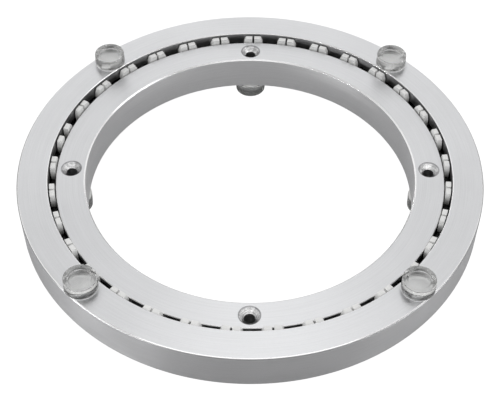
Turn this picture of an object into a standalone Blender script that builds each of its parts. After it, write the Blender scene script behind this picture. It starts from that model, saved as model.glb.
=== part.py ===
"""Lazy susan bearing.

Two turned aluminium rings share one ball race. The inner ring stands on four
rubber feet and has four countersunk screw holes. The outer ring turns around
it and carries four rubber pads. Steel balls run in a moulded cage, an open
strip bent into a circle whose ends meet in the middle of one post.
Metres, +Z up, origin on the bearing's axis at the feet's resting plane.
"""

import math

import bmesh
import bpy
from mathutils import Matrix

# Rings
OUTER_DIAMETER = 0.1400
BORE_SHARE = 0.713
OUTER_RING_SHARE = 0.453
RING_GAP = 0.0022
OUTER_RING_HEIGHT = 0.01225
INNER_RING_HEIGHT = 0.01165
TOP_STEP = 0.0022
RIM_CHAMFER = 0.0004
GAP_CHAMFER = 0.0002
RING_STEPS = 96

# Balls and their race
BALL_DIAMETER = 0.00635
BALL_COUNT = 33
BALL_SPLIT_COUNT = 2
RACE_CLEARANCE = 0.0002
RACE_SEGMENTS = 5

# Screw holes in the inner ring
SCREW_COUNT = 4
SCREW_HOLE_DIAMETER = 0.0032
COUNTERSINK_DIAMETER = 0.0063
COUNTERSINK_DEPTH = 0.0016
SCREW_STEPS = 20

# Rubber pads and feet
PAD_COUNT = 4
PAD_TOP_DIAMETER = 0.0094
PAD_BASE_DIAMETER = 0.0097
PAD_HEIGHT = 0.0035
FOOT_TOP_DIAMETER = 0.0098
FOOT_BASE_DIAMETER = 0.0101
FOOT_HEIGHT = 0.0042
PAD_RIM_WIDTH = 0.0010
PAD_RIM_RADIUS = 0.00025
PAD_DISH_DEPTH = 0.0005
PAD_BASE_CHAMFER = 0.0002
PAD_STEPS = 20
PAD_DISH_SEGMENTS = 3
PAD_RIM_SEGMENTS = 2
SEAT_GAP = 0.0003

# Cage
CAGE_INNER_CLEARANCE = 0.0003
CAGE_OUTER_CLEARANCE = 0.0004
CAGE_TOP_DROP = 0.0008
CAGE_FLOOR = 0.0012
POCKET_CLEARANCE = 0.0002
POCKET_THROAT_SHARE = 0.790
POCKET_SEGMENTS = 9
POST_TOP_SHARE = 0.470
POST_SHOULDER_HEIGHT = 0.0016
POST_CORNER = 0.0003
SLIT_WIDTH = 0.00065
SLIT_DEPTH = 0.0058
SLIT_END_SEGMENTS = 4
JOINT_GAP = 0.0031
END_CLAW_EXTRA = 0.0004
JOINT_ANGLE = math.radians(166.4)

# Where the cutters run past what they cut
CUT_OVERRUN = 0.0010
MERGE_DISTANCE = 0.00001

# Radii that follow from the sizes above
OUTER_RADIUS = OUTER_DIAMETER / 2
BORE_RADIUS = OUTER_RADIUS * BORE_SHARE
OUTER_RING_WIDTH = (OUTER_RADIUS - BORE_RADIUS) * OUTER_RING_SHARE
OUTER_RING_INNER_RADIUS = OUTER_RADIUS - OUTER_RING_WIDTH
INNER_RING_OUTER_RADIUS = OUTER_RING_INNER_RADIUS - RING_GAP
PITCH_RADIUS = INNER_RING_OUTER_RADIUS + RING_GAP / 2
PAD_CIRCLE_RADIUS = (OUTER_RADIUS + OUTER_RING_INNER_RADIUS) / 2
SCREW_CIRCLE_RADIUS = (INNER_RING_OUTER_RADIUS + BORE_RADIUS) / 2
BALL_RADIUS = BALL_DIAMETER / 2
RACE_RADIUS = BALL_RADIUS + RACE_CLEARANCE
POCKET_RADIUS = BALL_RADIUS + POCKET_CLEARANCE

# Heights that follow from the sizes above
INNER_BOTTOM = FOOT_HEIGHT + SEAT_GAP
INNER_TOP = INNER_BOTTOM + INNER_RING_HEIGHT
OUTER_TOP = INNER_TOP + TOP_STEP
OUTER_BOTTOM = OUTER_TOP - OUTER_RING_HEIGHT
BALL_HEIGHT = (OUTER_BOTTOM + INNER_TOP) / 2
CAGE_TOP = OUTER_TOP - CAGE_TOP_DROP
CAGE_BOTTOM = BALL_HEIGHT - POCKET_RADIUS - CAGE_FLOOR

# The cage's pitch: the open joint takes a little of the circle
JOINT_EXTRA_ANGLE = (JOINT_GAP - SLIT_WIDTH + 2 * END_CLAW_EXTRA) / PITCH_RADIUS
PITCH_ANGLE = (2 * math.pi - JOINT_EXTRA_ANGLE) / BALL_COUNT
FIRST_POST_ANGLE = JOINT_ANGLE - JOINT_EXTRA_ANGLE / 2
POST_TOP_WIDTH = PITCH_ANGLE * PITCH_RADIUS * POST_TOP_SHARE


def clear_scene():
    """Remove every object that the scene starts with."""
    for obj in list(bpy.data.objects):
        bpy.data.objects.remove(obj, do_unlink=True)


def make_collection(name, hidden=False):
    """Return a new collection under the scene's root collection."""
    collection = bpy.data.collections.new(name)
    bpy.context.scene.collection.children.link(collection)
    collection.hide_render = hidden
    return collection


def make_material(name, colour, roughness, metallic, transmission=0.0):
    """Return a Principled BSDF material."""
    material = bpy.data.materials.new(name)
    material.use_nodes = True
    shader = material.node_tree.nodes["Principled BSDF"]
    shader.inputs["Base Color"].default_value = (*colour, 1.0)
    shader.inputs["Roughness"].default_value = roughness
    shader.inputs["Metallic"].default_value = metallic
    shader.inputs["Transmission Weight"].default_value = transmission
    material.diffuse_color = (*colour, 1.0)
    return material


def add_object(name, mesh, collection, material=None, parent=None):
    """Link a mesh into the scene as a named object."""
    obj = bpy.data.objects.new(name, mesh)
    collection.objects.link(obj)
    if material is not None:
        if mesh.materials:
            mesh.materials[0] = material
        else:
            mesh.materials.append(material)
    obj.parent = parent
    return obj


def add_axis(name, collection, location=(0.0, 0.0, 0.0), parent=None):
    """Add an empty that marks the axis a group of pieces turns about."""
    empty = bpy.data.objects.new(name, None)
    empty.empty_display_type = "ARROWS"
    empty.empty_display_size = OUTER_RING_HEIGHT
    empty.location = location
    empty.parent = parent
    collection.objects.link(empty)
    return empty


def profile_mesh(name, points, closed):
    """Return a wire mesh through (radius, height) points in the XZ plane."""
    bm = bmesh.new()
    verts = [bm.verts.new((radius, 0.0, height)) for radius, height in points]
    for first, second in zip(verts, verts[1:]):
        bm.edges.new((first, second))
    if closed:
        bm.edges.new((verts[-1], verts[0]))
    mesh = bpy.data.meshes.new(name)
    bm.to_mesh(mesh)
    bm.free()
    return mesh


def add_screw(obj, steps):
    """Turn an object's profile through a full circle about its Z axis."""
    screw = obj.modifiers.new("Turn", "SCREW")
    screw.axis = "Z"
    screw.angle = 2 * math.pi
    screw.steps = steps
    screw.render_steps = steps
    screw.use_merge_vertices = True
    screw.merge_threshold = MERGE_DISTANCE
    screw.use_smooth_shade = True


def arc_points(centre, radius, start, end, segments):
    """Return points along an arc, both ends included."""
    points = []
    for index in range(segments + 1):
        angle = start + (end - start) * index / segments
        points.append((centre[0] + radius * math.cos(angle), centre[1] + radius * math.sin(angle)))
    return points


def race_arc(side):
    """Return the race's arc from top to bottom, side +1 outward or -1 inward."""
    half_angle = math.acos(RING_GAP / 2 / RACE_RADIUS)
    arc = arc_points((0.0, 0.0), RACE_RADIUS, half_angle, -half_angle, RACE_SEGMENTS)
    return [(PITCH_RADIUS + side * x, BALL_HEIGHT + y) for x, y in arc]


def outer_ring_profile():
    """Section of the outer ring: down its wall, then up past the race."""
    race = race_arc(1)
    race.reverse()
    return [
        (OUTER_RADIUS - RIM_CHAMFER, OUTER_TOP),
        (OUTER_RADIUS, OUTER_TOP - RIM_CHAMFER),
        (OUTER_RADIUS, OUTER_BOTTOM + RIM_CHAMFER),
        (OUTER_RADIUS - RIM_CHAMFER, OUTER_BOTTOM),
        (OUTER_RING_INNER_RADIUS + GAP_CHAMFER, OUTER_BOTTOM),
        (OUTER_RING_INNER_RADIUS, OUTER_BOTTOM + GAP_CHAMFER),
        *race,
        (OUTER_RING_INNER_RADIUS, OUTER_TOP - GAP_CHAMFER),
        (OUTER_RING_INNER_RADIUS + GAP_CHAMFER, OUTER_TOP),
    ]


def inner_ring_profile():
    """Section of the inner ring: down past the race, then up the bore."""
    return [
        (INNER_RING_OUTER_RADIUS - GAP_CHAMFER, INNER_TOP),
        (INNER_RING_OUTER_RADIUS, INNER_TOP - GAP_CHAMFER),
        *race_arc(-1),
        (INNER_RING_OUTER_RADIUS, INNER_BOTTOM + GAP_CHAMFER),
        (INNER_RING_OUTER_RADIUS - GAP_CHAMFER, INNER_BOTTOM),
        (BORE_RADIUS + RIM_CHAMFER, INNER_BOTTOM),
        (BORE_RADIUS, INNER_BOTTOM + RIM_CHAMFER),
        (BORE_RADIUS, INNER_TOP - RIM_CHAMFER),
        (BORE_RADIUS + RIM_CHAMFER, INNER_TOP),
    ]


def pad_profile(top_diameter, base_diameter, height):
    """Section of a pad that stands on its base: dish, rim, side and base."""
    top_radius = top_diameter / 2
    base_radius = base_diameter / 2
    rim_outer = top_radius - PAD_RIM_RADIUS
    rim_inner = rim_outer - PAD_RIM_WIDTH
    dish_radius = (rim_inner ** 2 + PAD_DISH_DEPTH ** 2) / (2 * PAD_DISH_DEPTH)
    dish_half_angle = math.asin(rim_inner / dish_radius)
    dish_centre = height - PAD_DISH_DEPTH + dish_radius
    low = -math.pi / 2
    dish = arc_points((0.0, dish_centre), dish_radius, low, low + dish_half_angle, PAD_DISH_SEGMENTS)
    rim_centre = (rim_outer, height - PAD_RIM_RADIUS)
    rim = arc_points(rim_centre, PAD_RIM_RADIUS, math.pi / 2, 0.0, PAD_RIM_SEGMENTS)
    return [
        *dish,
        *rim,
        (base_radius, PAD_BASE_CHAMFER),
        (base_radius - PAD_BASE_CHAMFER, 0.0),
        (0.0, 0.0),
    ]


def screw_hole_profile():
    """Section of one countersunk hole's cutter, from above the top face down."""
    hole_radius = SCREW_HOLE_DIAMETER / 2
    sink_radius = COUNTERSINK_DIAMETER / 2
    slope = (sink_radius - hole_radius) / COUNTERSINK_DEPTH
    mouth_radius = sink_radius + slope * CUT_OVERRUN
    return [
        (0.0, INNER_TOP + CUT_OVERRUN),
        (mouth_radius, INNER_TOP + CUT_OVERRUN),
        (hole_radius, INNER_TOP - COUNTERSINK_DEPTH),
        (hole_radius, INNER_BOTTOM - CUT_OVERRUN),
        (0.0, INNER_BOTTOM - CUT_OVERRUN),
    ]


def pocket_outline():
    """Outline of one ball pocket, seen along a radius.

    X runs along the pitch circle and Y up from the balls' centre. The round
    pocket opens through a throat narrower than the ball, and the shoulders
    above the throat lean back so that a ball can be pressed in.
    """
    throat_half = BALL_DIAMETER * POCKET_THROAT_SHARE / 2
    mouth_half = (PITCH_ANGLE * PITCH_RADIUS - POST_TOP_WIDTH) / 2
    throat_angle = math.acos(throat_half / POCKET_RADIUS)
    top = CAGE_TOP - BALL_HEIGHT
    pocket = arc_points((0.0, 0.0), POCKET_RADIUS, throat_angle, -math.pi - throat_angle, POCKET_SEGMENTS)
    shoulder = top - POST_SHOULDER_HEIGHT
    corner_low = (mouth_half - POST_CORNER / 3, top - POST_CORNER)
    corner_high = (mouth_half + POST_CORNER * 2 / 3, top)
    lifted = (corner_high[0] + POST_CORNER, top + CUT_OVERRUN)
    right = [lifted, corner_high, corner_low, (throat_half, shoulder)]
    left = [(-x, y) for x, y in reversed(right)]
    return right + pocket + left


def slit_outline():
    """Outline of the slit between a post's two claws, round at its foot."""
    half = SLIT_WIDTH / 2
    top = CAGE_TOP - BALL_HEIGHT
    foot = top - SLIT_DEPTH + half
    end = arc_points((0.0, foot), half, 0.0, -math.pi, SLIT_END_SEGMENTS)
    return [(half, top + CUT_OVERRUN), *end, (-half, top + CUT_OVERRUN)]


def joint_outline():
    """Outline of the open joint, which parts the strip all the way down."""
    half = JOINT_GAP / 2
    top = CAGE_TOP - BALL_HEIGHT + CUT_OVERRUN
    bottom = CAGE_BOTTOM - BALL_HEIGHT - CUT_OVERRUN
    return [(half, top), (half, bottom), (-half, bottom), (-half, top)]


def outline_mesh(name, outline, depth):
    """Return a closed mesh of a flat outline extruded along its own normal."""
    curve = bpy.data.curves.new(name, "CURVE")
    curve.dimensions = "2D"
    curve.fill_mode = "BOTH"
    curve.extrude = depth / 2
    spline = curve.splines.new("POLY")
    spline.points.add(len(outline) - 1)
    for point, (x, y) in zip(spline.points, outline):
        point.co = (x, y, 0.0, 1.0)
    spline.use_cyclic_u = True
    guide = bpy.data.objects.new(name, curve)
    bpy.context.scene.collection.objects.link(guide)
    bpy.context.view_layer.update()
    depsgraph = bpy.context.evaluated_depsgraph_get()
    mesh = bpy.data.meshes.new_from_object(guide.evaluated_get(depsgraph))
    bpy.data.objects.remove(guide, do_unlink=True)
    bm = bmesh.new()
    bm.from_mesh(mesh)
    bmesh.ops.remove_doubles(bm, verts=bm.verts[:], dist=MERGE_DISTANCE)
    bmesh.ops.recalc_face_normals(bm, faces=bm.faces[:])
    bm.to_mesh(mesh)
    bm.free()
    return mesh


def radial_placement(angle):
    """Return the matrix that stands an outline across the race at an angle."""
    across = Matrix(((0.0, 0.0, 1.0, PITCH_RADIUS),
                     (1.0, 0.0, 0.0, 0.0),
                     (0.0, 1.0, 0.0, BALL_HEIGHT),
                     (0.0, 0.0, 0.0, 1.0)))
    return Matrix.Rotation(angle, 4, "Z") @ across


def pattern_mesh(name, placed):
    """Return one mesh that holds each (mesh, angle) pair at its place."""
    bm = bmesh.new()
    for mesh, angle in placed:
        before = set(bm.verts)
        bm.from_mesh(mesh)
        added = [vert for vert in bm.verts if vert not in before]
        bmesh.ops.transform(bm, matrix=radial_placement(angle), verts=added)
    result = bpy.data.meshes.new(name)
    bm.to_mesh(result)
    bm.free()
    return result


def cut(obj, cutter, name):
    """Subtract a cutter from an object."""
    boolean = obj.modifiers.new(name, "BOOLEAN")
    boolean.operation = "DIFFERENCE"
    boolean.solver = "EXACT"
    boolean.object = cutter


def hide_cutter(cutter):
    """Show a cutter as wire only and keep it out of renders."""
    cutter.display_type = "WIRE"
    cutter.hide_render = True


def ball_angle(index):
    """Return where a ball sits around the race."""
    return FIRST_POST_ANGLE - (index + 0.5) * PITCH_ANGLE


def ball_mesh():
    """Return the mesh that all the balls share."""
    bm = bmesh.new()
    bmesh.ops.create_icosphere(bm, subdivisions=BALL_SPLIT_COUNT, radius=BALL_RADIUS)
    mesh = bpy.data.meshes.new("ball")
    bm.to_mesh(mesh)
    bm.free()
    mesh.shade_smooth()
    return mesh


def build_rings(parts, cutters, aluminium, turntable):
    """Make both rings and drill the inner one."""
    outer_mesh = profile_mesh("outer_ring", outer_ring_profile(), closed=True)
    outer_ring = add_object("outer_ring", outer_mesh, parts, aluminium["outer_ring"], turntable)
    add_screw(outer_ring, RING_STEPS)
    inner_mesh = profile_mesh("inner_ring", inner_ring_profile(), closed=True)
    inner_ring = add_object("inner_ring", inner_mesh, parts, aluminium["inner_ring"])
    add_screw(inner_ring, RING_STEPS)
    hole_mesh = profile_mesh("screw_hole_cutter", screw_hole_profile(), closed=False)
    for index in range(SCREW_COUNT):
        angle = 2 * math.pi * index / SCREW_COUNT
        cutter = add_object(f"screw_hole_cutter_{index + 1}", hole_mesh, cutters)
        add_screw(cutter, SCREW_STEPS)
        cutter.location.x = SCREW_CIRCLE_RADIUS * math.cos(angle)
        cutter.location.y = SCREW_CIRCLE_RADIUS * math.sin(angle)
        hide_cutter(cutter)
        cut(inner_ring, cutter, f"Screw hole {index + 1}")


def build_cage(parts, cutters, material, orbit):
    """Turn the cage's band, then open its pockets, slits and joint."""
    inner = INNER_RING_OUTER_RADIUS + CAGE_INNER_CLEARANCE
    outer = OUTER_RING_INNER_RADIUS - CAGE_OUTER_CLEARANCE
    band = [(outer, CAGE_TOP), (outer, CAGE_BOTTOM), (inner, CAGE_BOTTOM), (inner, CAGE_TOP)]
    cage = add_object("ball_cage", profile_mesh("ball_cage", band, closed=True), parts, material, orbit)
    add_screw(cage, RING_STEPS)
    depth = RING_GAP + 2 * CUT_OVERRUN
    pocket = outline_mesh("pocket", pocket_outline(), depth)
    slit = outline_mesh("slit", slit_outline(), depth)
    joint = outline_mesh("joint", joint_outline(), depth)
    placed = [(joint, JOINT_ANGLE)]
    for index in range(BALL_COUNT):
        placed.append((pocket, ball_angle(index)))
        if index > 0:
            placed.append((slit, FIRST_POST_ANGLE - index * PITCH_ANGLE))
    cutter = add_object("cage_cutter", pattern_mesh("cage_cutter", placed), cutters)
    hide_cutter(cutter)
    cut(cage, cutter, "Pockets and slits")


def build_balls(parts, material, orbit):
    """Put one ball in each pocket, each with its origin at its own centre."""
    mesh = ball_mesh()
    for index in range(BALL_COUNT):
        ball = add_object(f"ball_{index + 1:02d}", mesh, parts, material, orbit)
        angle = ball_angle(index)
        ball.location = (PITCH_RADIUS * math.cos(angle), PITCH_RADIUS * math.sin(angle), BALL_HEIGHT)
        ball.rotation_euler.z = angle


def build_pads(parts, pad_material, foot_material, turntable):
    """Stand pads on the outer ring and hang feet under the inner ring."""
    pad_section = pad_profile(PAD_TOP_DIAMETER, PAD_BASE_DIAMETER, PAD_HEIGHT)
    foot_section = pad_profile(FOOT_TOP_DIAMETER, FOOT_BASE_DIAMETER, FOOT_HEIGHT)
    pad_mesh = profile_mesh("pad", pad_section, closed=False)
    foot_mesh = profile_mesh("foot", foot_section, closed=False)
    for index in range(PAD_COUNT):
        step = 2 * math.pi / PAD_COUNT
        angle = step * (index + 0.5)
        pad = add_object(f"pad_{index + 1}", pad_mesh, parts, pad_material, turntable)
        pad.location.x = PAD_CIRCLE_RADIUS * math.cos(angle)
        pad.location.y = PAD_CIRCLE_RADIUS * math.sin(angle)
        pad.location.z = OUTER_TOP + SEAT_GAP
        add_screw(pad, PAD_STEPS)
    for index in range(SCREW_COUNT):
        angle = 2 * math.pi * index / SCREW_COUNT
        foot = add_object(f"foot_{index + 1}", foot_mesh, parts, foot_material)
        foot.location.x = SCREW_CIRCLE_RADIUS * math.cos(angle)
        foot.location.y = SCREW_CIRCLE_RADIUS * math.sin(angle)
        foot.location.z = INNER_BOTTOM - SEAT_GAP
        foot.rotation_euler.x = math.pi
        add_screw(foot, PAD_STEPS)


def main():
    """Build the whole bearing."""
    clear_scene()
    parts = make_collection("lazy_susan_bearing")
    cutters = make_collection("cutters", hidden=True)
    aluminium = {
        "inner_ring": make_material("inner_ring", (0.68, 0.68, 0.70), 0.34, 1.0),
        "outer_ring": make_material("outer_ring", (0.66, 0.66, 0.68), 0.34, 1.0),
    }
    nylon = make_material("ball_cage", (0.86, 0.86, 0.84), 0.45, 0.0)
    steel = make_material("balls", (0.55, 0.55, 0.56), 0.12, 1.0)
    clear_pad = make_material("pads", (0.88, 0.88, 0.85), 0.12, 0.0, 0.9)
    clear_foot = make_material("feet", (0.88, 0.88, 0.85), 0.12, 0.0, 0.9)
    turntable = add_axis("outer_spin_axis", parts)
    orbit = add_axis("cage_orbit_axis", parts)
    build_rings(parts, cutters, aluminium, turntable)
    build_cage(parts, cutters, nylon, orbit)
    build_balls(parts, steel, orbit)
    build_pads(parts, clear_pad, clear_foot, turntable)


main()
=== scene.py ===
"""Looks of the lazy susan bearing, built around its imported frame.

Turned aluminium rings, a moulded cage, steel balls, and clear rubber pads and
feet, each in place of one plain solid of the frame. Metres, +Z up, origin on
the bearing's axis at the feet's resting plane.
"""

import math

import bmesh
import bpy
from mathutils import Matrix, Vector


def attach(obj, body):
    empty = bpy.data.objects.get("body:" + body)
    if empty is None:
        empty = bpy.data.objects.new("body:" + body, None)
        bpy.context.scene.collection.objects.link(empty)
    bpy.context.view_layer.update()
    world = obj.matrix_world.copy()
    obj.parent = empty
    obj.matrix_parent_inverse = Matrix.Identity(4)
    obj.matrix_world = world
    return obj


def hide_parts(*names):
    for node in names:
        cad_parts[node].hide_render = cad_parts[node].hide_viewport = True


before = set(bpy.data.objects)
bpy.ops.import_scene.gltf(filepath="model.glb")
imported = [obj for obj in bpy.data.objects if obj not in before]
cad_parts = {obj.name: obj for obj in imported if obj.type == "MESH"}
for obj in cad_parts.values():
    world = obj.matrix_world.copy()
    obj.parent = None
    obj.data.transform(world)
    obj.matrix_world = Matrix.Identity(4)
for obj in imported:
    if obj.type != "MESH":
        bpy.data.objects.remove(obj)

MERGE_DISTANCE = 0.0000001

# Rings
OUTER_DIAMETER = 0.1400
BORE_SHARE = 0.713
OUTER_RING_SHARE = 0.453
RING_GAP = 0.0022
OUTER_RING_HEIGHT = 0.01225
INNER_RING_HEIGHT = 0.01165
TOP_STEP = 0.0022
RIM_CHAMFER = 0.0004
GAP_CHAMFER = 0.0002
CORNER_ROUNDING = 0.00006
CORNER_SEGMENTS = 3
RING_STEPS = 288

# Balls and race
BALL_DIAMETER = 0.00635
BALL_COUNT = 33
BALL_SPLITS = 4
RACE_CLEARANCE = 0.0002
RACE_SEGMENTS = 20

# Screw holes in the inner ring
SCREW_COUNT = 4
SCREW_HOLE_DIAMETER = 0.0032
COUNTERSINK_DIAMETER = 0.0063
COUNTERSINK_DEPTH = 0.0016
# The countersink's outer band gets a darker tone of painted shade
SUNK_RIM_WIDTH = 0.0003
LIP_ROUNDING = 0.00005
SCREW_STEPS = 64

# Rubber pads and feet
PAD_COUNT = 4
PAD_TOP_DIAMETER = 0.0094
PAD_BASE_DIAMETER = 0.0097
PAD_HEIGHT = 0.0035
FOOT_TOP_DIAMETER = 0.0098
FOOT_BASE_DIAMETER = 0.0101
FOOT_HEIGHT = 0.0042
PAD_RIM_WIDTH = 0.0012
PAD_RIM_ROUNDING = 0.0003
PAD_RIM_SEGMENTS = 4
PAD_DISH_DEPTH = 0.0005
PAD_DISH_EDGE_DEPTH = 0.0003
PAD_DISH_SLOPE_WIDTH = 0.0004
PAD_DISH_SEGMENTS = 12
PAD_BASE_RING_RADIUS = 0.0037
PAD_BASE_BEVEL = 0.00015
PAD_STEPS = 72

# Gap between a pad and its ring, in the plain solids and in the pieces here
SEAT_GAP = 0.0003
SEAT_CLEARANCE = 0.00002

# Cage
CAGE_INNER_CLEARANCE = 0.0003
CAGE_OUTER_CLEARANCE = 0.0004
CAGE_TOP_DROP = 0.0008
CAGE_FLOOR = 0.0012
CAGE_STEPS = 396
CAGE_EDGE_ROUNDING = 0.00012
CAGE_EDGE_SEGMENTS = 2
POCKET_CLEARANCE = 0.0002
POCKET_THROAT_SHARE = 0.790
POCKET_SEGMENTS = 24
POST_TOP_SHARE = 0.470
POST_SHOULDER_HEIGHT = 0.0016
POST_CORNER = 0.0005
POST_CORNER_END = math.radians(169.2)
POST_CORNER_SEGMENTS = 5
SLIT_WIDTH = 0.00065
SLIT_DEPTH = 0.0058
SLIT_END_SEGMENTS = 8
JOINT_GAP = 0.0031
END_CLAW_EXTRA = 0.0004
JOINT_ANGLE = math.radians(166.4)
# Depths below the cage's top over which painted shade darkens the posts
CAGE_SHADE_START_DEPTH = 0.0010
CAGE_SHADE_END_DEPTH = 0.0038

# How far the cutters run past what they cut
CUT_OVERRUN = 0.0010

# Angles past which an edge counts as sharp, and a corner as one to round;
# and the most of its shorter side that a rounded corner may take
SHARP_ANGLE = math.radians(30)
CORNER_ANGLE = math.radians(25)
LARGEST_CORNER_SHARE = 1 / 3

# Radii that follow from the sizes above
OUTER_RADIUS = OUTER_DIAMETER / 2
BORE_RADIUS = OUTER_RADIUS * BORE_SHARE
OUTER_RING_WIDTH = (OUTER_RADIUS - BORE_RADIUS) * OUTER_RING_SHARE
OUTER_RING_INNER_RADIUS = OUTER_RADIUS - OUTER_RING_WIDTH
INNER_RING_OUTER_RADIUS = OUTER_RING_INNER_RADIUS - RING_GAP
PITCH_RADIUS = INNER_RING_OUTER_RADIUS + RING_GAP / 2
PAD_CIRCLE_RADIUS = (OUTER_RADIUS + OUTER_RING_INNER_RADIUS) / 2
SCREW_CIRCLE_RADIUS = (INNER_RING_OUTER_RADIUS + BORE_RADIUS) / 2
SCREW_HOLE_RADIUS = SCREW_HOLE_DIAMETER / 2
COUNTERSINK_RADIUS = COUNTERSINK_DIAMETER / 2
SUNK_RIM_RADIUS = COUNTERSINK_RADIUS - SUNK_RIM_WIDTH
BALL_RADIUS = BALL_DIAMETER / 2
RACE_RADIUS = BALL_RADIUS + RACE_CLEARANCE
POCKET_RADIUS = BALL_RADIUS + POCKET_CLEARANCE
POCKET_THROAT_HALF = BALL_RADIUS * POCKET_THROAT_SHARE
CAGE_INNER_RADIUS = INNER_RING_OUTER_RADIUS + CAGE_INNER_CLEARANCE
CAGE_OUTER_RADIUS = OUTER_RING_INNER_RADIUS - CAGE_OUTER_CLEARANCE

# Heights that follow from the sizes above
INNER_BOTTOM = FOOT_HEIGHT + SEAT_GAP
INNER_TOP = INNER_BOTTOM + INNER_RING_HEIGHT
OUTER_TOP = INNER_TOP + TOP_STEP
OUTER_BOTTOM = OUTER_TOP - OUTER_RING_HEIGHT
PAD_TOP = OUTER_TOP + SEAT_GAP + PAD_HEIGHT
BALL_HEIGHT = (OUTER_BOTTOM + INNER_TOP) / 2
CAGE_TOP = OUTER_TOP - CAGE_TOP_DROP
CAGE_BOTTOM = BALL_HEIGHT - POCKET_RADIUS - CAGE_FLOOR

# The cage's pitch: the open joint takes a little of the circle
JOINT_EXTRA_ANGLE = (JOINT_GAP - SLIT_WIDTH + 2 * END_CLAW_EXTRA) / PITCH_RADIUS
PITCH_ANGLE = (2 * math.pi - JOINT_EXTRA_ANGLE) / BALL_COUNT
FIRST_POST_ANGLE = JOINT_ANGLE - JOINT_EXTRA_ANGLE / 2
POST_TOP_WIDTH = PITCH_ANGLE * PITCH_RADIUS * POST_TOP_SHARE

# Finishes of the rings' surfaces, in the order of their material slots; some tones hold painted shade
FACED, TURNED_SHADED, BORED, EDGE, RACE, PAINTED_SHADE, SUNK, SUNK_RIM, DRILLED = range(9)
RING_FINISHES = (
    dict(name="faced_aluminium", tone=(0.800, 0.805, 0.818), roughness=0.34,
         mark_pitch=0.00022, contrast=0.05, bump=0.28),
    # Outer wall: marks and gloss of a turned finish, with a tone darker than the faces' as painted shade
    dict(name="turned_shaded_aluminium", tone=(0.59, 0.59, 0.60), roughness=0.36,
         mark_pitch=0.00030, contrast=0.05, bump=0.25),
    dict(name="bored_aluminium", tone=(0.75, 0.75, 0.76), roughness=0.36,
         mark_pitch=0.00030, contrast=0.05, bump=0.25),
    dict(name="edge_aluminium", tone=(0.97, 0.97, 0.97), roughness=0.20,
         mark_pitch=0.00020, contrast=0.03, bump=0.10, drawn=0.0, metallic=0.80),
    # The race's near-black tone is painted shade deep in the gap
    dict(name="race_aluminium", tone=(0.20, 0.20, 0.205), roughness=0.24,
         mark_pitch=0.00035, contrast=0.06, bump=0.20),
    # Painted shade: the dark tone of the walls in the gap between the rings and of the rim chamfers' halves
    # nearer the outer wall
    dict(name="painted_shade_aluminium", tone=(0.36, 0.36, 0.365), roughness=0.34,
         mark_pitch=0.00030, contrast=0.06, bump=0.20),
    dict(name="sunk_aluminium", tone=(0.72, 0.72, 0.73), roughness=0.26,
         mark_pitch=0.00030, contrast=0.45, bump=1.00, drawn=0.0, holed=True),
    # The countersink's outer band is painted darker as shade at the hole's mouth; its marks are real
    dict(name="sunk_rim_aluminium", tone=(0.40, 0.40, 0.41), roughness=0.30,
         mark_pitch=0.00018, contrast=0.20, bump=0.40, drawn=0.0, holed=True),
    dict(name="drilled_aluminium", tone=(0.60, 0.60, 0.61), roughness=0.40,
         mark_pitch=0.00018, contrast=0.20, bump=0.30, drawn=0.0, holed=True),
)

# How much each pattern counts in the aluminium's tone and in its roughness
MARK_SHARE = 0.50
SPECKLE_SHARE = 0.22
CLOUD_SHARE = 0.28
MARK_ROUGHNESS_SHARE = 0.6
ROUGHNESS_SPREAD = 0.12
QUARTER_TURN = 0.25

# How much the moulding's flow counts in the nylon's tone, beside its grain
FLOW_SHARE = 0.65

# Clear rubber: the pads' and feet's three slots, and their looks
CLEAR, SIDE, BASE = range(3)
# Side and base shades are painted shade, and the feet's greyer tone is painted shade of the ring above them
PAD_RUBBER = dict(tone=(1.0, 1.0, 0.99), milk=0.03, side_shade=0.92, base_shade=0.45, base_milk=0.03)
FOOT_RUBBER = dict(tone=(0.88, 0.885, 0.87), milk=0.10, side_shade=0.35, base_shade=0.0, base_milk=0.95)
RUBBER_IOR = 1.45
CLOUDY_SHARE = 0.97
SIDE_BAND_BOTTOM = (0.0002, 0.0006)
SIDE_BAND_TOP = (0.0020, 0.0030)

# Camera, fitted to the ring edges in the photograph
IMAGE_WIDTH = 500
SENSOR_WIDTH = 36.0
FOCAL_PIXELS = 1100.6
CAMERA_PLACE = (0.0, -0.22884, 0.26016)
CAMERA_TILT = math.radians(41.524)
CAMERA_ROLL = math.radians(0.230)
CAMERA_CLIP_START = 0.01

# Floor
WHITE = (1.0, 1.0, 1.0, 1.0)
FLOOR_SIZE = 6.0
FLOOR_DROP = 0.00001
FLOOR_TONE = 0.62
FLOOR_GLOW = 1.0
FLOOR_GLOW_SHARE = 0.80

# Brightness of the room behind the object, at its sides and above it
ROOM_BACK = 1.21
ROOM_BACK_FALLOFF = 2.0
ROOM_LEFT = 0.92
ROOM_RIGHT = 0.85
ROOM_SIDE_BLEND = 0.3
ROOM_TOP = 0.66
ROOM_TOP_FALLOFF = 4.0

# Soft lamps, and the cards that give the metal its glints
LAMPS = (
    dict(name="overhead", place=(0.03, 0.36, 0.93), size=(0.40, 0.40), energy=0.32),
    dict(name="front", place=(0.0, -0.77, 0.66), size=(1.60, 0.44), energy=2.6, clear=False),
    dict(name="key", place=(0.0, -0.28, 0.98), size=(0.45, 0.30), energy=0.5),
    dict(name="left card", place=(-0.80, -0.50, 0.045), size=(0.70, 0.09), energy=7.5,
         matt=False, clear=False),
    dict(name="right card", place=(0.80, -0.40, 0.045), size=(0.70, 0.09), energy=3.0,
         matt=False, clear=False),
    dict(name="edge card", place=(0.79, -0.17, 0.60), size=(0.75, 0.22), energy=0.55,
         matt=False, clear=False),
)


def arc_points(centre, radius, start, end, segments):
    """Return points along an arc, both ends included."""
    points = []
    for index in range(segments + 1):
        angle = start + (end - start) * index / segments
        points.append((centre[0] + radius * math.cos(angle), centre[1] + radius * math.sin(angle)))
    return points


def on_circle(radius, angle, height):
    """Return a place on a circle round the bearing's axis."""
    return (radius * math.cos(angle), radius * math.sin(angle), height)


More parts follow.
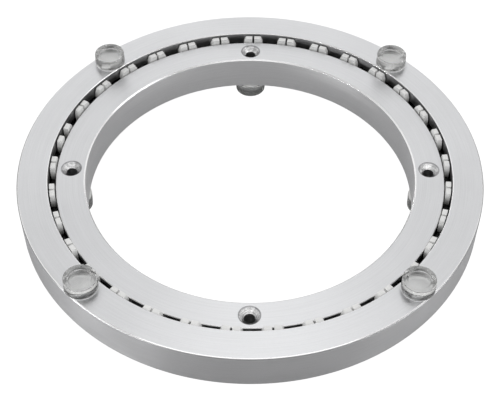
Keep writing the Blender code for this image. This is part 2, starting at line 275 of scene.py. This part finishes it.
def rounded(outline, radius, segments):
    """Return a closed outline with a small arc at each sharp corner."""
    result = []
    count = len(outline)
    for index, corner in enumerate(outline):
        before = outline[index - 1]
        after = outline[(index + 1) % count]
        arrive = (corner[0] - before[0], corner[1] - before[1])
        leave = (after[0] - corner[0], after[1] - corner[1])
        arrive_length = math.hypot(*arrive)
        leave_length = math.hypot(*leave)
        cross = arrive[0] * leave[1] - arrive[1] * leave[0]
        dot = arrive[0] * leave[0] + arrive[1] * leave[1]
        turn = math.atan2(cross, dot)
        on_axis = corner[0] == 0.0
        if abs(turn) < CORNER_ANGLE or on_axis:
            result.append(corner)
            continue
        most = min(arrive_length, leave_length) * LARGEST_CORNER_SHARE
        reach = min(radius * math.tan(abs(turn) / 2), most)
        start = [corner[axis] - arrive[axis] * reach / arrive_length for axis in range(2)]
        end = [corner[axis] + leave[axis] * reach / leave_length for axis in range(2)]
        for step in range(segments + 1):
            share = step / segments
            rest = 1 - share
            result.append(tuple(
                rest * rest * start[axis] + 2 * rest * share * corner[axis] + share * share * end[axis]
                for axis in range(2)))
    return result


def race_arc(side):
    """Return the race's arc from top to bottom, side +1 outward or -1 inward."""
    half_gap = (OUTER_RING_INNER_RADIUS - INNER_RING_OUTER_RADIUS) / 2
    half_angle = math.acos(half_gap / RACE_RADIUS)
    arc = arc_points((0.0, 0.0), RACE_RADIUS, half_angle, -half_angle, RACE_SEGMENTS)
    return [(PITCH_RADIUS + side * x, BALL_HEIGHT + y) for x, y in arc]


def outer_ring_outline():
    """Section of the outer ring: down its wall, then up past the race."""
    race = race_arc(1)
    race.reverse()
    return [
        (OUTER_RADIUS - RIM_CHAMFER, OUTER_TOP),
        (OUTER_RADIUS - RIM_CHAMFER / 2, OUTER_TOP - RIM_CHAMFER / 2),
        (OUTER_RADIUS, OUTER_TOP - RIM_CHAMFER),
        (OUTER_RADIUS, OUTER_BOTTOM + RIM_CHAMFER),
        (OUTER_RADIUS - RIM_CHAMFER, OUTER_BOTTOM),
        (OUTER_RING_INNER_RADIUS + GAP_CHAMFER, OUTER_BOTTOM),
        (OUTER_RING_INNER_RADIUS, OUTER_BOTTOM + GAP_CHAMFER),
        *race,
        (OUTER_RING_INNER_RADIUS, OUTER_TOP - GAP_CHAMFER),
        (OUTER_RING_INNER_RADIUS + GAP_CHAMFER, OUTER_TOP),
    ]


def inner_ring_outline():
    """Section of the inner ring: down past the race, then up the bore."""
    return [
        (INNER_RING_OUTER_RADIUS - GAP_CHAMFER, INNER_TOP),
        (INNER_RING_OUTER_RADIUS, INNER_TOP - GAP_CHAMFER),
        *race_arc(-1),
        (INNER_RING_OUTER_RADIUS, INNER_BOTTOM + GAP_CHAMFER),
        (INNER_RING_OUTER_RADIUS - GAP_CHAMFER, INNER_BOTTOM),
        (BORE_RADIUS + RIM_CHAMFER, INNER_BOTTOM),
        (BORE_RADIUS, INNER_BOTTOM + RIM_CHAMFER),
        (BORE_RADIUS, INNER_TOP - RIM_CHAMFER),
        (BORE_RADIUS + RIM_CHAMFER, INNER_TOP),
    ]


def screw_hole_outline():
    """Section of one countersunk hole's cutter, with its softened lip."""
    slope = COUNTERSINK_DEPTH / (COUNTERSINK_RADIUS - SCREW_HOLE_RADIUS)
    rim_depth = (COUNTERSINK_RADIUS - SUNK_RIM_RADIUS) * slope
    lip_radius = COUNTERSINK_RADIUS + LIP_ROUNDING
    return [
        (0.0, INNER_TOP + CUT_OVERRUN),
        (lip_radius + CUT_OVERRUN, INNER_TOP + CUT_OVERRUN),
        (lip_radius, INNER_TOP),
        (COUNTERSINK_RADIUS - LIP_ROUNDING, INNER_TOP - LIP_ROUNDING * slope),
        (SUNK_RIM_RADIUS, INNER_TOP - rim_depth),
        (SCREW_HOLE_RADIUS, INNER_TOP - COUNTERSINK_DEPTH),
        (SCREW_HOLE_RADIUS, INNER_BOTTOM - CUT_OVERRUN),
        (0.0, INNER_BOTTOM - CUT_OVERRUN),
    ]


def pad_outline(top_diameter, base_diameter, height):
    """Section of a pad that stands on its base: dish, rim, side and base."""
    rim_outer = top_diameter / 2
    base_radius = base_diameter / 2
    rim_inner = rim_outer - PAD_RIM_WIDTH
    floor_edge = rim_inner - PAD_DISH_SLOPE_WIDTH
    floor_rise = PAD_DISH_DEPTH - PAD_DISH_EDGE_DEPTH
    dish_radius = (floor_edge ** 2 + floor_rise ** 2) / (2 * floor_rise)
    half_angle = math.asin(floor_edge / dish_radius)
    centre = (0.0, height - PAD_DISH_DEPTH + dish_radius)
    low = -math.pi / 2
    dish = arc_points(centre, dish_radius, low, low + half_angle, PAD_DISH_SEGMENTS)
    dish[0] = (0.0, height - PAD_DISH_DEPTH)
    return [
        *dish,
        (rim_inner, height),
        (rim_outer, height),
        (base_radius, PAD_BASE_BEVEL),
        (base_radius - PAD_BASE_BEVEL, 0.0),
        (PAD_BASE_RING_RADIUS, 0.0),
        (0.0, 0.0),
    ]


def pad_slot(start, end):
    """Return the slot of a pad's surface: its side, its base ring, or the rest."""
    if abs(end[1] - start[1]) > PAD_DISH_DEPTH * 2:
        return SIDE
    under = max(start[1], end[1]) < PAD_BASE_BEVEL / 2
    return BASE if under and min(start[0], end[0]) >= PAD_BASE_RING_RADIUS else CLEAR


def ring_slot(start, end):
    """Return the ring material slot of the surface between two outline points."""
    middle = ((start[0] + end[0]) / 2, (start[1] + end[1]) / 2)
    from_ball = math.hypot(middle[0] - PITCH_RADIUS, middle[1] - BALL_HEIGHT)
    nearest = min(start[0], end[0])
    farthest = max(start[0], end[0])
    past_inner_ring = nearest > INNER_RING_OUTER_RADIUS - MERGE_DISTANCE
    short_of_outer_ring = farthest < OUTER_RING_INNER_RADIUS + MERGE_DISTANCE
    if from_ball < RACE_RADIUS:
        return RACE
    # The walls in the gap between the rings take a tone of painted shade
    if past_inner_ring and short_of_outer_ring:
        return PAINTED_SHADE
    across = farthest - nearest
    along = abs(end[1] - start[1])
    if across > RIM_CHAMFER * 2:
        return FACED
    if along > RIM_CHAMFER * 2:
        # The outer wall takes its darker tone of painted shade
        return TURNED_SHADED if middle[0] > PITCH_RADIUS else BORED
    # The rim chamfer's half nearer the outer wall takes painted shade
    return PAINTED_SHADE if middle[0] > OUTER_RADIUS - RIM_CHAMFER / 2 else EDGE


def hole_slot(start, end):
    """Return the slot of a screw hole's surface between two outline points."""
    if start[0] == end[0]:
        return DRILLED
    return SUNK_RIM if min(start[0], end[0]) >= SUNK_RIM_RADIUS else SUNK


def lathe(name, outline, steps, slot_of=None):
    """Return a closed mesh: an outline turned through a full circle."""
    bm = bmesh.new()
    rows = []
    for step in range(steps):
        angle = 2 * math.pi * step / steps
        rows.append([bm.verts.new(on_circle(radius, angle, height)) for radius, height in outline])
    count = len(outline)
    for step, row in enumerate(rows):
        following = rows[(step + 1) % steps]
        for index in range(count):
            other = (index + 1) % count
            if outline[index][0] == 0.0 and outline[other][0] == 0.0:
                continue
            face = bm.faces.new((row[index], row[other], following[other], following[index]))
            face.smooth = True
            if slot_of is not None:
                face.material_index = slot_of(outline[index], outline[other])
    bmesh.ops.remove_doubles(bm, verts=bm.verts[:], dist=MERGE_DISTANCE)
    bmesh.ops.recalc_face_normals(bm, faces=bm.faces[:])
    mesh = bpy.data.meshes.new(name)
    bm.to_mesh(mesh)
    bm.free()
    mesh.set_sharp_from_angle(angle=SHARP_ANGLE)
    return mesh


def add_object(name, mesh, materials=()):
    """Link a mesh into the scene as a named object."""
    obj = bpy.data.objects.new(name, mesh)
    bpy.context.scene.collection.objects.link(obj)
    for material in materials:
        mesh.materials.append(material)
    return obj


def baked_mesh(obj):
    """Return a mesh of an object with its modifiers applied."""
    bpy.context.view_layer.update()
    depsgraph = bpy.context.evaluated_depsgraph_get()
    return bpy.data.meshes.new_from_object(obj.evaluated_get(depsgraph))


def even_normals(obj):
    """Let an object's large flat faces rule the shading at their edges."""
    weighted = obj.modifiers.new("Weighted normals", "WEIGHTED_NORMAL")
    weighted.mode = "FACE_AREA"
    weighted.keep_sharp = True


def cut(obj, cutters):
    """Subtract cutters from an object, bake the result and drop the cutters."""
    for cutter in cutters:
        boolean = obj.modifiers.new(cutter.name, "BOOLEAN")
        boolean.operation = "DIFFERENCE"
        boolean.solver = "EXACT"
        boolean.object = cutter
    mesh = baked_mesh(obj)
    obj.modifiers.clear()
    obj.data = mesh
    for cutter in cutters:
        bpy.data.objects.remove(cutter, do_unlink=True)


def stand_for(obj, body, node):
    """Seat a finished piece in the frame in place of its plain solid."""
    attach(obj, body)
    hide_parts(node)


def add_node(tree, kind, inputs=None, **settings):
    """Add a shader node; inputs maps a socket to a value or another socket."""
    node = tree.nodes.new(kind)
    for name, value in settings.items():
        setattr(node, name, value)
    for key, value in (inputs or {}).items():
        if isinstance(value, bpy.types.NodeSocket):
            tree.links.new(value, node.inputs[key])
        else:
            node.inputs[key].default_value = value
    return node


def maths(tree, operation, first, second=0.0):
    """Return the result of a maths node."""
    return add_node(tree, "ShaderNodeMath", {0: first, 1: second}, operation=operation).outputs[0]


def spread(tree, value, low, high, start=0.3, end=0.7):
    """Return a value mapped from start..end to low..high."""
    sockets = {"Value": value, "From Min": start, "From Max": end, "To Min": low, "To Max": high}
    return add_node(tree, "ShaderNodeMapRange", sockets).outputs["Result"]


def noise(tree, vector, scale, detail=2.0, roughness=0.5):
    """Return a noise pattern's value."""
    sockets = {"Vector": vector, "Scale": scale, "Detail": detail, "Roughness": roughness}
    return add_node(tree, "ShaderNodeTexNoise", sockets).outputs[0]


def tinted(tree, factor, low, high):
    """Return a colour between two others, each given as a tone or a socket."""
    first, second = (end if isinstance(end, bpy.types.NodeSocket) else (*end, 1.0) for end in (low, high))
    sockets = {"Factor": factor, "A": first, "B": second}
    mix = add_node(tree, "ShaderNodeMix", data_type="RGBA")
    for name, value in sockets.items():
        wanted = "VALUE" if name == "Factor" else "RGBA"
        socket = next(s for s in mix.inputs if s.name == name and s.type == wanted)
        if isinstance(value, bpy.types.NodeSocket):
            tree.links.new(value, socket)
        else:
            socket.default_value = value
    return next(s for s in mix.outputs if s.type == "RGBA")


def new_material(name, tone):
    """Return a node material, its tree, its shader and its object position."""
    material = bpy.data.materials.new(name)
    material.use_nodes = True
    material.diffuse_color = (*tone, 1.0)
    tree = material.node_tree
    shader = tree.nodes["Principled BSDF"]
    place = tree.nodes.new("ShaderNodeTexCoord").outputs["Object"]
    return material, tree, shader, place


def axis_distance(tree, place):
    """Return the distance from the bearing's axis."""
    flat = add_node(tree, "ShaderNodeVectorMath", {0: place, 1: (1.0, 1.0, 0.0)}, operation="MULTIPLY")
    return add_node(tree, "ShaderNodeVectorMath", {0: flat.outputs[0]}, operation="LENGTH").outputs["Value"]


def hole_distance(tree, place):
    """Return the distance from the nearest screw hole's axis."""
    parts = add_node(tree, "ShaderNodeSeparateXYZ", {"Vector": place})
    across = maths(tree, "ABSOLUTE", parts.outputs["X"])
    along = maths(tree, "ABSOLUTE", parts.outputs["Y"])
    far = maths(tree, "SUBTRACT", maths(tree, "MAXIMUM", across, along), SCREW_CIRCLE_RADIUS)
    near = maths(tree, "MINIMUM", across, along)
    offset = add_node(tree, "ShaderNodeCombineXYZ", {"X": far, "Y": near}).outputs["Vector"]
    return add_node(tree, "ShaderNodeVectorMath", {0: offset}, operation="LENGTH").outputs["Value"]


def weighted_sum(tree, *terms):
    """Return the sum of several values, each given with its weight."""
    total = None
    for value, weight in terms:
        part = maths(tree, "MULTIPLY", value, weight)
        total = part if total is None else maths(tree, "ADD", total, part)
    return total


def add_relief(tree, shader, height, strength, distance):
    """Give a shader a fine relief from a pattern's value."""
    sockets = {"Strength": strength, "Distance": distance, "Height": height}
    bump = add_node(tree, "ShaderNodeBump", sockets)
    tree.links.new(bump.outputs["Normal"], shader.inputs["Normal"])


def turning_marks(tree, place, radius, pitch, waver):
    """Return the fine rings that a tool leaves round an axis."""
    parts = add_node(tree, "ShaderNodeSeparateXYZ", {"Vector": place})
    travel = maths(tree, "ADD", radius, parts.outputs["Z"])
    sockets = {
        "X": maths(tree, "DIVIDE", travel, pitch),
        "Y": maths(tree, "MULTIPLY", parts.outputs["X"], waver),
        "Z": maths(tree, "MULTIPLY", parts.outputs["Y"], waver),
    }
    vector = add_node(tree, "ShaderNodeCombineXYZ", sockets).outputs["Vector"]
    return noise(tree, vector, scale=1.0, detail=3.0, roughness=0.62)


def aluminium(name, tone, roughness, mark_pitch, contrast, bump, drawn=0.65, holed=False, metallic=1.0):
    """Return turned aluminium: ring marks, fine speckle and soft clouding.

    Drawn is how far the marks stretch its gloss. A holed surface is marked round
    its screw hole instead of the bearing's axis, and is dented.
    """
    material, tree, shader, place = new_material(name, tone)
    around = hole_distance(tree, place) if holed else axis_distance(tree, place)
    marks = turning_marks(tree, place, around, mark_pitch, waver=45.0)
    speckle = noise(tree, place, scale=2600.0, detail=3.0, roughness=0.7)
    clouds = noise(tree, place, scale=950.0 if holed else 42.0, detail=3.0, roughness=0.55)
    fine = weighted_sum(tree, (marks, MARK_SHARE), (speckle, SPECKLE_SHARE))
    mixed = maths(tree, "ADD", fine, maths(tree, "MULTIPLY", clouds, CLOUD_SHARE))
    low = tuple(channel * (1 - contrast) for channel in tone)
    high = tuple(min(1.0, channel * (1 + contrast)) for channel in tone)
    amount = spread(tree, mixed, low=0.0, high=1.0, start=0.38, end=0.62)
    tree.links.new(tinted(tree, amount, low, high), shader.inputs["Base Color"])
    shader.inputs["Metallic"].default_value = metallic
    grain = weighted_sum(tree, (marks, MARK_ROUGHNESS_SHARE), (clouds, 1 - MARK_ROUGHNESS_SHARE))
    smoothest = roughness * (1 - ROUGHNESS_SPREAD)
    roughest = roughness * (1 + ROUGHNESS_SPREAD)
    tree.links.new(spread(tree, grain, smoothest, roughest), shader.inputs["Roughness"])
    shader.inputs["Anisotropic"].default_value = drawn
    shader.inputs["Anisotropic Rotation"].default_value = QUARTER_TURN
    tangent = add_node(tree, "ShaderNodeTangent", direction_type="RADIAL", axis="Z")
    tree.links.new(tangent.outputs["Tangent"], shader.inputs["Tangent"])
    if holed:
        add_relief(tree, shader, clouds, bump, distance=0.00010)
    else:
        add_relief(tree, shader, fine, bump, distance=0.00002)
    return material


def nylon():
    """Return moulded off-white nylon with a faint grain, darkened low on the posts by painted shade."""
    material, tree, shader, place = new_material("moulded_nylon", tone=(0.91, 0.91, 0.90))
    flow = noise(tree, place, scale=260.0, detail=4.0, roughness=0.6)
    grain = noise(tree, place, scale=5200.0, detail=2.0, roughness=0.6)
    mixed = weighted_sum(tree, (flow, FLOW_SHARE), (grain, 1 - FLOW_SHARE))
    amount = spread(tree, mixed, low=0.0, high=1.0)
    clean = tinted(tree, amount, low=(0.87, 0.87, 0.86), high=(0.97, 0.97, 0.96))
    height = add_node(tree, "ShaderNodeSeparateXYZ", {"Vector": place}).outputs["Z"]
    # Painted shade: the posts grow darker from their top down into the gap between the rings
    shade_bottom = CAGE_TOP - CAGE_SHADE_END_DEPTH
    shade_top = CAGE_TOP - CAGE_SHADE_START_DEPTH
    low_shade = spread(tree, height, low=1.0, high=0.0, start=shade_bottom, end=shade_top)
    colour = tinted(tree, low_shade, low=clean, high=(0.34, 0.34, 0.33))
    tree.links.new(colour, shader.inputs["Base Color"])
    tree.links.new(spread(tree, grain, low=0.32, high=0.48), shader.inputs["Roughness"])
    add_relief(tree, shader, grain, strength=0.25, distance=0.00002)
    return material


def steel():
    """Return polished bearing steel, its tone painted nearly black as shade deep in the race, with faint
    smears.
    """
    material, tree, shader, place = new_material("bearing_steel", tone=(0.025, 0.025, 0.026))
    smears = noise(tree, place, scale=900.0, detail=4.0, roughness=0.65)
    scratches = noise(tree, place, scale=7000.0, detail=2.0, roughness=0.5)
    amount = spread(tree, smears, low=0.0, high=1.0)
    # The near-black tones are painted shade of the narrow race
    colour = tinted(tree, amount, low=(0.010, 0.010, 0.011), high=(0.035, 0.035, 0.036))
    tree.links.new(colour, shader.inputs["Base Color"])
    shader.inputs["Metallic"].default_value = 1.0
    tree.links.new(spread(tree, smears, low=0.22, high=0.36), shader.inputs["Roughness"])
    add_relief(tree, shader, scratches, strength=0.08, distance=0.00001)
    return material


def side_band(tree, place):
    """Return 1 over the lower half of a pad's side, and 0 at its rim and base."""
    height = add_node(tree, "ShaderNodeSeparateXYZ", {"Vector": place}).outputs["Z"]
    below_rim = spread(tree, height, 1.0, 0.0, *SIDE_BAND_TOP)
    above_base = spread(tree, height, 0.0, 1.0, *SIDE_BAND_BOTTOM)
    return maths(tree, "MULTIPLY", below_rim, above_base)


def clear_rubber(name, tone, milk, shade=0.0, banded=False):
    """Return clear soft polyurethane with slight haze and mould waviness.

    Shade is painted shade: it darkens the rubber in blotches, which a banded side keeps to its lower half.
    """
    material, tree, shader, place = new_material(name, tone)
    haze = noise(tree, place, scale=700.0, detail=3.0, roughness=0.55)
    dust = noise(tree, place, scale=4200.0, detail=2.0, roughness=0.6)
    cloudy = tuple(channel * CLOUDY_SHARE for channel in tone)
    colour = tinted(tree, spread(tree, haze, low=0.0, high=1.0), cloudy, tone)
    if shade:
        dark = tuple(channel * (1 - shade) for channel in tone)
        blotches = noise(tree, place, scale=420.0, detail=3.0, roughness=0.6)
        amount = spread(tree, blotches, low=0.45, high=1.0, start=0.42, end=0.54)
        if banded:
            amount = maths(tree, "MULTIPLY", amount, side_band(tree, place))
        colour = tinted(tree, amount, colour, dark)
    tree.links.new(colour, shader.inputs["Base Color"])
    shader.inputs["Transmission Weight"].default_value = 1 - milk
    shader.inputs["IOR"].default_value = RUBBER_IOR
    tree.links.new(spread(tree, dust, low=0.03, high=0.10), shader.inputs["Roughness"])
    add_relief(tree, shader, haze, strength=0.04, distance=0.00003)
    return material


def rubber_set(name, tone, milk, side_shade, base_shade, base_milk):
    """Return the three materials of a pad: clear top, side and base ring."""
    return [
        clear_rubber(name, tone, milk),
        clear_rubber(f"{name}_side", tone, milk, side_shade, banded=True),
        clear_rubber(f"{name}_base", tone, base_milk, base_shade),
    ]


def build_rings(materials):
    """Turn both rings and drill the inner one."""
    outer_outline = rounded(outer_ring_outline(), CORNER_ROUNDING, CORNER_SEGMENTS)
    outer_mesh = lathe("outer_ring_turned", outer_outline, RING_STEPS, ring_slot)
    outer_ring = add_object("outer_ring_turned", outer_mesh, materials)
    even_normals(outer_ring)
    stand_for(outer_ring, "turntable", "outer_ring")
    inner_outline = rounded(inner_ring_outline(), CORNER_ROUNDING, CORNER_SEGMENTS)
    inner_mesh = lathe("inner_ring_turned", inner_outline, RING_STEPS, ring_slot)
    inner_ring = add_object("inner_ring_turned", inner_mesh, materials)
    drills = []
    for index in range(SCREW_COUNT):
        angle = 2 * math.pi * index / SCREW_COUNT
        mesh = lathe("drill", screw_hole_outline(), SCREW_STEPS, hole_slot)
        drill = add_object(f"drill_{index + 1}", mesh, materials)
        drill.location = on_circle(SCREW_CIRCLE_RADIUS, angle, 0.0)
        drills.append(drill)
    cut(inner_ring, drills)
    even_normals(inner_ring)
    stand_for(inner_ring, "base", "inner_ring")


def pocket_outline():
    """Outline of one ball pocket, seen along a radius, centred on its ball."""
    mouth_half = (PITCH_ANGLE * PITCH_RADIUS - POST_TOP_WIDTH) / 2
    throat_angle = math.acos(POCKET_THROAT_HALF / POCKET_RADIUS)
    top = CAGE_TOP - BALL_HEIGHT
    pocket = arc_points((0.0, 0.0), POCKET_RADIUS, throat_angle, -math.pi - throat_angle, POCKET_SEGMENTS)
    shoulder = top - POST_SHOULDER_HEIGHT
    corner_centre = (mouth_half + POST_CORNER, top - POST_CORNER)
    corner = arc_points(corner_centre, POST_CORNER, math.pi / 2, POST_CORNER_END, POST_CORNER_SEGMENTS)
    right = [(corner[0][0], top + CUT_OVERRUN), *corner, (POCKET_THROAT_HALF, shoulder)]
    left = [(-x, y) for x, y in reversed(right)]
    return right + pocket + left


def slit_outline():
    """Outline of the slit between a post's two claws, round at its foot."""
    half = SLIT_WIDTH / 2
    top = CAGE_TOP - BALL_HEIGHT
    end = arc_points((0.0, top - SLIT_DEPTH + half), half, 0.0, -math.pi, SLIT_END_SEGMENTS)
    return [(half, top + CUT_OVERRUN), *end, (-half, top + CUT_OVERRUN)]


def joint_outline():
    """Outline of the open joint, which parts the strip all the way down."""
    half = JOINT_GAP / 2
    top = CAGE_TOP - BALL_HEIGHT + CUT_OVERRUN
    bottom = CAGE_BOTTOM - BALL_HEIGHT - CUT_OVERRUN
    return [(half, top), (half, bottom), (-half, bottom), (-half, top)]


def outline_prism(outline, depth):
    """Return a closed mesh of a flat outline extruded along its own normal."""
    curve = bpy.data.curves.new("prism", "CURVE")
    curve.dimensions = "2D"
    curve.fill_mode = "BOTH"
    curve.extrude = depth / 2
    spline = curve.splines.new("POLY")
    spline.points.add(len(outline) - 1)
    for point, (x, y) in zip(spline.points, outline):
        point.co = (x, y, 0.0, 1.0)
    spline.use_cyclic_u = True
    guide = bpy.data.objects.new("prism", curve)
    bpy.context.scene.collection.objects.link(guide)
    mesh = baked_mesh(guide)
    bpy.data.objects.remove(guide, do_unlink=True)
    bm = bmesh.new()
    bm.from_mesh(mesh)
    bmesh.ops.remove_doubles(bm, verts=bm.verts[:], dist=MERGE_DISTANCE)
    bmesh.ops.recalc_face_normals(bm, faces=bm.faces[:])
    bm.to_mesh(mesh)
    bm.free()
    return mesh


def radial_placement(angle):
    """Return the matrix that stands an outline across the race at an angle."""
    across = Matrix(((0.0, 0.0, 1.0, PITCH_RADIUS),
                     (1.0, 0.0, 0.0, 0.0),
                     (0.0, 1.0, 0.0, BALL_HEIGHT),
                     (0.0, 0.0, 0.0, 1.0)))
    return Matrix.Rotation(angle, 4, "Z") @ across


def pattern_mesh(name, placed):
    """Return one mesh that holds each (mesh, angle) pair at its place."""
    bm = bmesh.new()
    for mesh, angle in placed:
        before = set(bm.verts)
        bm.from_mesh(mesh)
        added = [vert for vert in bm.verts if vert not in before]
        bmesh.ops.transform(bm, matrix=radial_placement(angle), verts=added)
    result = bpy.data.meshes.new(name)
    bm.to_mesh(result)
    bm.free()
    return result


def ball_angle(index):
    """Return where a ball sits around the race."""
    return FIRST_POST_ANGLE - (index + 0.5) * PITCH_ANGLE


def build_cage(material):
    """Turn the cage's band, open its pockets, and round its moulded edges."""
    band = [
        (CAGE_OUTER_RADIUS, CAGE_TOP),
        (CAGE_OUTER_RADIUS, CAGE_BOTTOM),
        (CAGE_INNER_RADIUS, CAGE_BOTTOM),
        (CAGE_INNER_RADIUS, CAGE_TOP),
    ]
    cage = add_object("ball_cage_moulded", lathe("ball_cage_moulded", band, CAGE_STEPS), [material])
    depth = (CAGE_OUTER_RADIUS - CAGE_INNER_RADIUS) + 2 * CUT_OVERRUN
    pocket = outline_prism(pocket_outline(), depth)
    slit = outline_prism(slit_outline(), depth)
    joint = outline_prism(joint_outline(), depth)
    placed = [(joint, JOINT_ANGLE)]
    for index in range(BALL_COUNT):
        placed.append((pocket, ball_angle(index)))
        if index > 0:
            placed.append((slit, FIRST_POST_ANGLE - index * PITCH_ANGLE))
    cutter = add_object("cage_cutter", pattern_mesh("cage_cutter", placed), [material])
    cut(cage, [cutter])
    cage.data.shade_smooth()
    bevel = cage.modifiers.new("Moulded edges", "BEVEL")
    bevel.width = CAGE_EDGE_ROUNDING
    bevel.segments = CAGE_EDGE_SEGMENTS
    bevel.limit_method = "ANGLE"
    bevel.angle_limit = SHARP_ANGLE
    bevel.harden_normals = True
    stand_for(cage, "cage", "ball_cage")


def build_balls(material):
    """Put a smooth ball in each pocket."""
    bm = bmesh.new()
    bmesh.ops.create_icosphere(bm, subdivisions=BALL_SPLITS, radius=BALL_RADIUS)
    mesh = bpy.data.meshes.new("steel_ball")
    bm.to_mesh(mesh)
    bm.free()
    mesh.shade_smooth()
    mesh.materials.append(material)
    for index in range(BALL_COUNT):
        name = f"ball_{index + 1:02d}"
        ball = add_object(f"steel_{name}", mesh)
        angle = ball_angle(index)
        ball.location = on_circle(PITCH_RADIUS, angle, BALL_HEIGHT)
        ball.rotation_euler.z = angle
        stand_for(ball, f"{name}_body", name)


def pad_mesh(name, top_diameter, base_diameter, height, materials):
    """Return the mesh of one pad or foot, with its three materials."""
    section = rounded(pad_outline(top_diameter, base_diameter, height), PAD_RIM_ROUNDING, PAD_RIM_SEGMENTS)
    mesh = lathe(name, section, PAD_STEPS, pad_slot)
    for material in materials:
        mesh.materials.append(material)
    return mesh


def build_pads(materials):
    """Stand four clear pads on the outer ring, between the screw holes."""
    height = PAD_TOP - OUTER_TOP - SEAT_CLEARANCE
    mesh = pad_mesh("pad", PAD_TOP_DIAMETER, PAD_BASE_DIAMETER, height, materials)
    for index in range(PAD_COUNT):
        angle = 2 * math.pi * (index + 0.5) / PAD_COUNT
        pad = add_object(f"clear_pad_{index + 1}", mesh)
        pad.location = on_circle(PAD_CIRCLE_RADIUS, angle, OUTER_TOP + SEAT_CLEARANCE)
        even_normals(pad)
        stand_for(pad, "turntable", f"pad_{index + 1}")


def build_feet(materials):
    """Hang four clear feet, dish down, under the inner ring's screw holes."""
    height = INNER_BOTTOM - SEAT_CLEARANCE
    mesh = pad_mesh("foot", FOOT_TOP_DIAMETER, FOOT_BASE_DIAMETER, height, materials)
    for index in range(SCREW_COUNT):
        angle = 2 * math.pi * index / SCREW_COUNT
        foot = add_object(f"clear_foot_{index + 1}", mesh)
        foot.location = on_circle(SCREW_CIRCLE_RADIUS, angle, INNER_BOTTOM - SEAT_CLEARANCE)
        foot.rotation_euler.x = math.pi
        even_normals(foot)
        stand_for(foot, "base", f"foot_{index + 1}")


def build_floor():
    """Lay a white floor that shows as white and still keeps a soft shadow."""
    bm = bmesh.new()
    bmesh.ops.create_grid(bm, x_segments=1, y_segments=1, size=FLOOR_SIZE / 2)
    mesh = bpy.data.meshes.new("floor")
    bm.to_mesh(mesh)
    bm.free()
    material = bpy.data.materials.new("floor")
    material.use_nodes = True
    tree = material.node_tree
    tree.nodes.clear()
    path = tree.nodes.new("ShaderNodeLightPath")
    share = maths(tree, "MULTIPLY", path.outputs["Is Camera Ray"], FLOOR_GLOW_SHARE)
    matt = add_node(tree, "ShaderNodeBsdfDiffuse", {"Color": (FLOOR_TONE, FLOOR_TONE, FLOOR_TONE, 1.0)})
    glow_strength = FLOOR_GLOW / FLOOR_GLOW_SHARE
    glow = add_node(tree, "ShaderNodeEmission", {"Color": WHITE, "Strength": glow_strength})
    mix = add_node(tree, "ShaderNodeMixShader", {0: share, 1: matt.outputs[0], 2: glow.outputs[0]})
    add_node(tree, "ShaderNodeOutputMaterial", {"Surface": mix.outputs[0]})
    floor = add_object("floor", mesh, [material])
    floor.location.z = -FLOOR_DROP


def build_world():
    """Surround the object with a pale tent that is open on the camera's side."""
    world = bpy.data.worlds.new("room")
    bpy.context.scene.world = world
    world.use_nodes = True
    tree = world.node_tree
    tree.nodes.clear()
    path = tree.nodes.new("ShaderNodeLightPath")
    direction = tree.nodes.new("ShaderNodeTexCoord").outputs["Generated"]
    along = add_node(tree, "ShaderNodeSeparateXYZ", {"Vector": direction})
    behind = maths(tree, "MAXIMUM", along.outputs["Y"], 0.0)
    back = maths(tree, "MULTIPLY", maths(tree, "POWER", behind, ROOM_BACK_FALLOFF), ROOM_BACK)
    side_level = spread(tree, along.outputs["X"], ROOM_LEFT, ROOM_RIGHT, -ROOM_SIDE_BLEND, ROOM_SIDE_BLEND)
    aside = maths(tree, "MULTIPLY", along.outputs["X"], along.outputs["X"])
    sides = maths(tree, "MULTIPLY", aside, side_level)
    above = maths(tree, "MAXIMUM", along.outputs["Z"], 0.0)
    top = maths(tree, "MULTIPLY", maths(tree, "POWER", above, ROOM_TOP_FALLOFF), ROOM_TOP)
    level = maths(tree, "ADD", maths(tree, "ADD", back, sides), top)
    seen = maths(tree, "MAXIMUM", level, path.outputs["Is Camera Ray"])
    sky = add_node(tree, "ShaderNodeBackground", {"Color": WHITE, "Strength": seen})
    add_node(tree, "ShaderNodeOutputWorld", {"Surface": sky.outputs[0]})


def add_lamp(name, place, size, energy, matt=True, clear=True):
    """Hang a soft lamp that faces the outer ring's top.

    Matt and clear say whether it lights matt surfaces and shows in clear rubber.
    """
    lamp = bpy.data.lights.new(name, "AREA")
    lamp.shape = "RECTANGLE"
    lamp.size, lamp.size_y = size
    lamp.energy = energy
    obj = bpy.data.objects.new(name, lamp)
    bpy.context.scene.collection.objects.link(obj)
    obj.location = place
    obj.visible_diffuse = matt
    obj.visible_transmission = clear
    aim = Vector((0.0, 0.0, OUTER_TOP)) - Vector(place)
    obj.rotation_euler = aim.to_track_quat("-Z", "Y").to_euler()


def build_camera():
    """Stand the camera where the photograph was taken from."""
    camera = bpy.data.cameras.new("camera")
    camera.sensor_width = SENSOR_WIDTH
    camera.lens = FOCAL_PIXELS * SENSOR_WIDTH / IMAGE_WIDTH
    camera.clip_start = CAMERA_CLIP_START
    obj = bpy.data.objects.new("camera", camera)
    bpy.context.scene.collection.objects.link(obj)
    tilt = Matrix.Rotation(CAMERA_TILT, 4, "X")
    roll = Matrix.Rotation(CAMERA_ROLL, 4, "Z")
    obj.matrix_world = Matrix.Translation(CAMERA_PLACE) @ tilt @ roll
    bpy.context.scene.camera = obj


def main():
    """Build every piece, the floor, the room, the lamps and the camera."""
    build_camera()
    build_rings([aluminium(**finish) for finish in RING_FINISHES])
    build_cage(nylon())
    build_balls(steel())
    build_pads(rubber_set("pad_rubber", **PAD_RUBBER))
    build_feet(rubber_set("foot_rubber", **FOOT_RUBBER))
    build_floor()
    build_world()
    for lamp in LAMPS:
        add_lamp(**lamp)
    bpy.context.scene.view_settings.view_transform = "Standard"


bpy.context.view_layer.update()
main()
